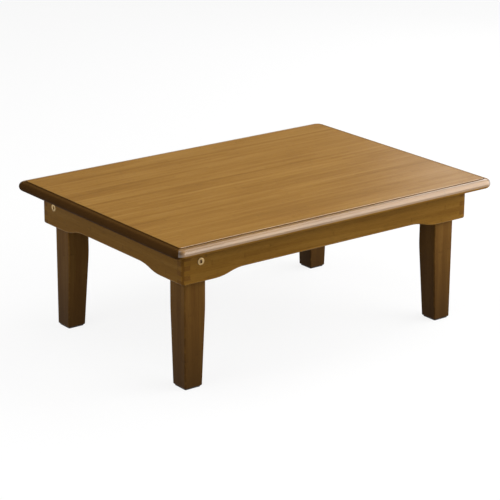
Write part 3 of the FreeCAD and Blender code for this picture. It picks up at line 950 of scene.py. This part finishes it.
def makeBamboo(name, kind, group):
    material, tree, shader = newMaterial(name + "Bamboo")
    settings = bambooSettings
    if "grainAxes" in kind:
        coordinates = addNode(tree, "ShaderNodeTexCoord").outputs
        axes = addNode(tree, "ShaderNodeSeparateXYZ", {0: coordinates["Object"]}).outputs
        order = {to: axes[of] for to, of in zip("XYZ", kind["grainAxes"])}
        place = addNode(tree, "ShaderNodeCombineXYZ", order).outputs[0]
        normal = addNode(tree, "ShaderNodeSeparateXYZ", {0: coordinates["Normal"]}).outputs
        cut = spread(tree, calculate(tree, "ABSOLUTE", normal[kind["grainAxes"][0]]), *cutGrain)
    else:
        place = addNode(tree, "ShaderNodeAttribute", attribute_name="grainPlace").outputs["Vector"]
        cut = addNode(tree, "ShaderNodeAttribute", attribute_name="endGrain").outputs["Fac"]
    sizes = {"place": place, "stripWidth": kind["stripWidth"], "layerDepth": kind["layerDepth"]}
    wood = addNode(tree, "ShaderNodeGroup", sizes, node_tree=group).outputs

    ramp = addNode(tree, "ShaderNodeValToRGB", {"Fac": wood["tone"]})
    stops = ramp.color_ramp.elements
    darkest, lightest = settings["toneRange"]
    stops[0].position = darkest
    stops[1].position = lightest
    stops.new((darkest + lightest) / 2)
    for stop, color in zip(stops, kind["colors"]):
        stop.color = shaded(color)
    darkMark = shaded(kind["colors"][0], colorShares["mark"])
    color = blendColors(tree, wood["marks"], ramp.outputs["Color"], darkMark)

    # cut ends and the ends of the top's moulding take more stain, and cut ends show the dark bundles of the
    # cane; the same dark colour also paints shade into the top's step and down the legs towards the foot
    endGrainAndShadeColor = shaded(kind["endGrainAndShadeColor"])
    endMarks = shaded(kind["endGrainAndShadeColor"], colorShares["endMark"])
    dotted = blendColors(tree, wood["endDots"], endGrainAndShadeColor, endMarks)
    color = blendColors(tree, calculate(tree, "MULTIPLY", cut, settings["stainAndShadeShare"]), color, dotted)
    # this attribute holds end-grain stain at the top's ends and painted shade in the top's step and on the
    # legs
    stainAndShade = addNode(tree, "ShaderNodeAttribute", attribute_name="stainAndPaintedShade").outputs["Fac"]
    color = blendColors(tree, calculate(tree, "MULTIPLY", stainAndShade, settings["stainAndShadeShare"]), color, endGrainAndShadeColor)
    edges = addNode(tree, "ShaderNodeAttribute", attribute_name="edgeWear").outputs["Fac"]
    worn = calculate(tree, "MULTIPLY", edges, wood["rub"])
    worn = calculate(tree, "MULTIPLY", worn, settings["wearShare"])
    worn = calculate(tree, "MULTIPLY", worn, calculate(tree, "SUBTRACT", 1.0, cut))
    color = blendColors(tree, worn, color, shaded(kind["colors"][2], colorShares["worn"]))
    tree.links.new(color, shader.inputs["Base Color"])

    smooth, dull = kind["roughness"]
    rough = spread(tree, wood["tone"], darkest, lightest, dull, smooth)
    rough = calculate(tree, "MULTIPLY_ADD", worn, settings["wearRoughness"], rough)
    tree.links.new(rough, shader.inputs["Roughness"])
    shader.inputs["Specular IOR Level"].default_value = kind["gloss"]
    shader.inputs["Coat Weight"].default_value = kind.get("coat", 0.0)
    shader.inputs["Coat Roughness"].default_value = settings["coatRoughness"]
    addGrooves(tree, shader, wood["height"], settings["grooveStrength"], settings["grooveDepth"])
    return material


# colour, metallic, roughness from smooth to dull, and how often the grain changes in a metre
plainKinds = {
    "brass": ((0.48, 0.33, 0.15), 1.0, (0.22, 0.38), 900.0),
    # painted shade for the inside of the bolt's socket
    "brassSocketShade": ((0.34, 0.19, 0.065), 0.0, (0.5, 0.65), 900.0),
    "zinc": ((0.58, 0.58, 0.60), 1.0, (0.28, 0.45), 700.0),
    "screwZinc": ((0.62, 0.55, 0.40), 1.0, (0.3, 0.5), 900.0),
    "nylonWhite": ((0.78, 0.75, 0.66), 0.0, (0.4, 0.55), 500.0),
    "nylonBlue": ((0.12, 0.2, 0.42), 0.0, (0.4, 0.55), 500.0),
    "rubber": ((0.035, 0.033, 0.032), 0.0, (0.65, 0.85), 1400.0),
    "beech": ((0.58, 0.40, 0.23), 0.0, (0.55, 0.7), 300.0),
}
plainSettings = {
    "grainDetail": 3.0,
    "grainRange": (0.3, 0.7),  # between which the grain turns the finish from smooth to dull
    "cloudScale": 1 / 9,  # of the grain's
    "cloudRange": (0.35, 0.7),  # between which the clouds darken it
    "cloudShade": 0.72,
    "bumpStrength": 0.3,
    "bumpDepth": 0.05 * mm,
}


def makePlain(name, paint, metallic, roughness, grain):
    material, tree, shader = newMaterial(name)
    settings = plainSettings
    place = addNode(tree, "ShaderNodeTexCoord").outputs["Object"]
    fine = pattern(tree, place, (grain,) * 3, settings["grainDetail"])
    clouds = pattern(tree, place, (grain * settings["cloudScale"],) * 3)
    clouded = spread(tree, clouds, *settings["cloudRange"])
    color = blendColors(tree, clouded, shaded(paint), shaded(paint, settings["cloudShade"]))
    tree.links.new(color, shader.inputs["Base Color"])
    rough = spread(tree, fine, *settings["grainRange"], *roughness)
    tree.links.new(rough, shader.inputs["Roughness"])
    shader.inputs["Metallic"].default_value = metallic
    addGrooves(tree, shader, fine, settings["bumpStrength"], settings["bumpDepth"])
    return material


bambooGroup = makeBambooGroup()
bamboo = {name: makeBamboo(name, kind, bambooGroup) for name, kind in bambooKinds.items()}
plainFinishes = {name: makePlain(name, *kind) for name, kind in plainKinds.items()}
print("materials made:", len(bamboo) + len(plainFinishes))


def dressNode(node, material):
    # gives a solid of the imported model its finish
    for holder in frame["nodes"][node].material_slots:
        holder.material = material


buildTop()
for side in range(4):
    buildApron(side)
print("table top and aprons built")
for corner in range(4):
    buildLeg(corner)
    buildFootPad(corner)
print("legs built")
for corner in range(4):
    buildPivotBolt(corner)
    buildWasher("spacer_washer", corner, "Spacer", "spacer_nylon", "nylonWhite")
    buildWasher("nut_washer", corner, "NutWasher", "nut_steel", "zinc")
    buildLockNut(corner)
print("pivot hardware built")

dressNode("cross_rail", bamboo["rail"])
dressNode("cross_rail_screws", plainFinishes["screwZinc"])
for side, name in enumerate(sideNames):
    dressNode(name + "_cleat", bamboo["longCleat" if side % 2 == 0 else "shortCleat"])
    dressNode(name + "_cleat_screws", plainFinishes["screwZinc"])
    dressNode(name + "_apron_dowels", plainFinishes["beech"])


# Floor, light and camera

studioSettings = {
    "floorSize": 30.0,
    "floorColor": 0.18,
    "floorWhite": 0.86,  # share of plain white that the camera sees in the floor; the rest shows the shadow
    "floorRoughness": 0.9,
    "floorGloss": 0.1,
    "worldLight": 0.28,
    "ceiling": 0.12,  # the backdrop is white to just above the horizon and darkens to this
    "ceilingRise": (0.02, 0.26),
    "lampTarget": (0, 0, 0.2),
}
lampSettings = {
    "keyLamp": {"place": (2.3, -1.8, 1.3), "size": (5.0, 2.7), "power": 117},
    "fillLamp": {"place": (-2.7, -0.5, 1.2), "size": (2.2, 2.0), "power": 28},
    "topLamp": {"place": (-0.7, 0.3, 2.9), "size": (2.0, 2.0), "power": 21.5},
    "sideLamp": {"place": (2.1, 0.0, 2.6), "size": (1.6, 1.8), "power": 24},
    "backLamp": {"place": (2.1, 1.4, 1.0), "size": (0.7, 0.7), "power": 5.5},
    # this one is close and small, so it is kept out of what the top and moulding mirror
    "nearLamp": {"place": (1.3, -1.0, 0.6), "size": (0.9, 0.7), "power": 9, "mirrored": False},
}
cameraSettings = {
    "place": (-2.1024, -2.7242, 1.2876),
    "target": (-0.0064, 0.0073, 0.1356),
    "roll": 0.35,
    "lens": 144.0,
    "sensor": 36.0,
    "farthest": 100.0,
}


def seenByCamera(tree):
    # 1 for the camera and for what shows in gloss or glass
    rays = addNode(tree, "ShaderNodeLightPath").outputs
    direct = calculate(tree, "MAXIMUM", rays["Is Camera Ray"], rays["Is Glossy Ray"])
    return calculate(tree, "MAXIMUM", direct, rays["Is Transmission Ray"])


def buildFloor():
    half = studioSettings["floorSize"] / 2
    places = ((-half, -half, 0), (half, -half, 0), (half, half, 0), (-half, half, 0))
    bm = bmesh.new()
    bm.faces.new([bm.verts.new(place) for place in places])
    mesh = bpy.data.meshes.new("floor")
    bm.to_mesh(mesh)
    bm.free()
    floor = bpy.data.objects.new("floor", mesh)
    scene.collection.objects.link(floor)
    material, tree, shader = newMaterial("paleFloor")
    seen = seenByCamera(tree)
    pale = addNode(tree, "ShaderNodeMix", {0: seen, 2: studioSettings["floorColor"], 3: 1.0}).outputs[0]
    tree.links.new(pale, shader.inputs["Base Color"])
    shader.inputs["Roughness"].default_value = studioSettings["floorRoughness"]
    shader.inputs["Specular IOR Level"].default_value = studioSettings["floorGloss"]
    white = addNode(tree, "ShaderNodeEmission", {"Color": (1, 1, 1, 1), "Strength": 1.0})
    share = calculate(tree, "MULTIPLY", seen, studioSettings["floorWhite"])
    mixed = addNode(tree, "ShaderNodeMixShader", {0: share, 1: shader.outputs[0], 2: white.outputs[0]})
    tree.links.new(mixed.outputs[0], tree.nodes["output"].inputs["Surface"])
    floor.data.materials.append(material)


def buildWorld():
    world = bpy.data.worlds.new("studio")
    scene.world = world
    world.use_nodes = True
    tree = world.node_tree
    tree.nodes.clear()
    direction = addNode(tree, "ShaderNodeTexCoord").outputs["Generated"]
    height = addNode(tree, "ShaderNodeSeparateXYZ", {0: direction}).outputs["Z"]
    backdrop = spread(tree, height, *studioSettings["ceilingRise"], 1.0, studioSettings["ceiling"])
    light = studioSettings["worldLight"]
    strength = addNode(tree, "ShaderNodeMix", {0: seenByCamera(tree), 2: light, 3: backdrop}).outputs[0]
    background = addNode(tree, "ShaderNodeBackground", {"Color": (1, 1, 1, 1), "Strength": strength})
    addNode(tree, "ShaderNodeOutputWorld", {"Surface": background.outputs[0]})


def buildLamps():
    for name, settings in lampSettings.items():
        light = bpy.data.lights.new(name, "AREA")
        light.shape = "RECTANGLE"
        light.size, light.size_y = settings["size"]
        light.energy = settings["power"]
        lamp = bpy.data.objects.new(name, light)
        lamp.location = settings["place"]
        lamp.visible_camera = False
        lamp.visible_glossy = settings.get("mirrored", True)
        aim = Vector(studioSettings["lampTarget"]) - lamp.location
        lamp.rotation_euler = aim.to_track_quat("-Z", "Y").to_euler()
        scene.collection.objects.link(lamp)


def buildCamera():
    data = bpy.data.cameras.new("camera")
    data.lens = cameraSettings["lens"]
    data.sensor_width = cameraSettings["sensor"]
    data.clip_end = cameraSettings["farthest"]
    camera = bpy.data.objects.new("camera", data)
    camera.location = cameraSettings["place"]
    aim = (Vector(cameraSettings["target"]) - camera.location).to_track_quat("-Z", "Y").to_matrix()
    turn = aim @ Matrix.Rotation(math.radians(cameraSettings["roll"]), 3, "Z")
    camera.rotation_euler = turn.to_euler()
    scene.collection.objects.link(camera)
    scene.camera = camera


buildFloor()
buildWorld()
buildLamps()
buildCamera()
scene.view_settings.view_transform = "Standard"
print("floor, light and camera set")
